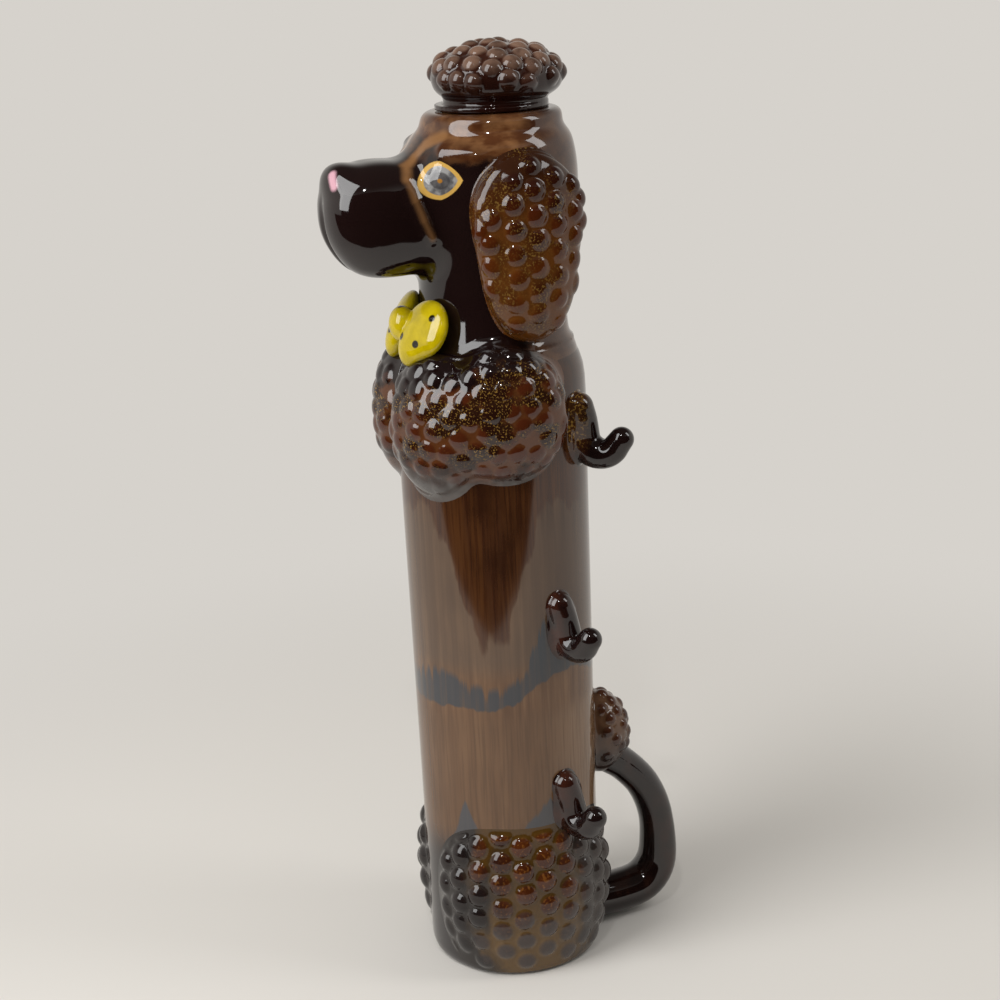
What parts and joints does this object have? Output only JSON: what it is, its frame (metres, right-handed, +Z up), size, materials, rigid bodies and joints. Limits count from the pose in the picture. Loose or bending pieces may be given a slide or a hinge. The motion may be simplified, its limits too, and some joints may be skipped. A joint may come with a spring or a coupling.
{
  "type": "figural liquor decanter",
  "caption": "Tall hollow glazed-ceramic poodle figure that stores and pours liquor, with a corked topknot stopper, cup hooks down its sides and a tail loop handle",
  "frame": {"origin": "centre of the flat foot, on the trunk's axis", "axes": "+Z up along the trunk, +X to the dog's left side, -Y the way the dog faces"},
  "size_m": [0.103, 0.1376, 0.37],
  "materials": {
    "brown_glaze": "glossy streaked brown glaze",
    "dark_glaze": "glossy brown-black glaze",
    "yellow_glaze": "glossy yellow glaze with black dots",
    "cork": "bare cork"
  },
  "bodies": {
    "decanter": {"trunk": "brown_glaze", "head": "dark_glaze", "bow_tie": "yellow_glaze", "tail_pompom": "brown_glaze", "tail_handle": "dark_glaze", "haunch_left": "brown_glaze", "haunch_right": "brown_glaze", "foreleg_left": "brown_glaze", "foreleg_right": "brown_glaze", "ear_left": "brown_glaze", "ear_right": "brown_glaze", "hook_upper_left": "dark_glaze", "hook_upper_right": "dark_glaze", "hook_middle_left": "dark_glaze", "hook_middle_right": "dark_glaze", "hook_lower_left": "dark_glaze", "hook_lower_right": "dark_glaze"},
    "stopper": {"stopper_topknot": "brown_glaze", "stopper_cork": "cork"}
  },
  "joints": [
    {"name": "stopper_lift", "type": "slide", "parent": "decanter", "child": "stopper", "axis": [0, 0, 1], "range_m": [0, 0.06]}
  ]
}
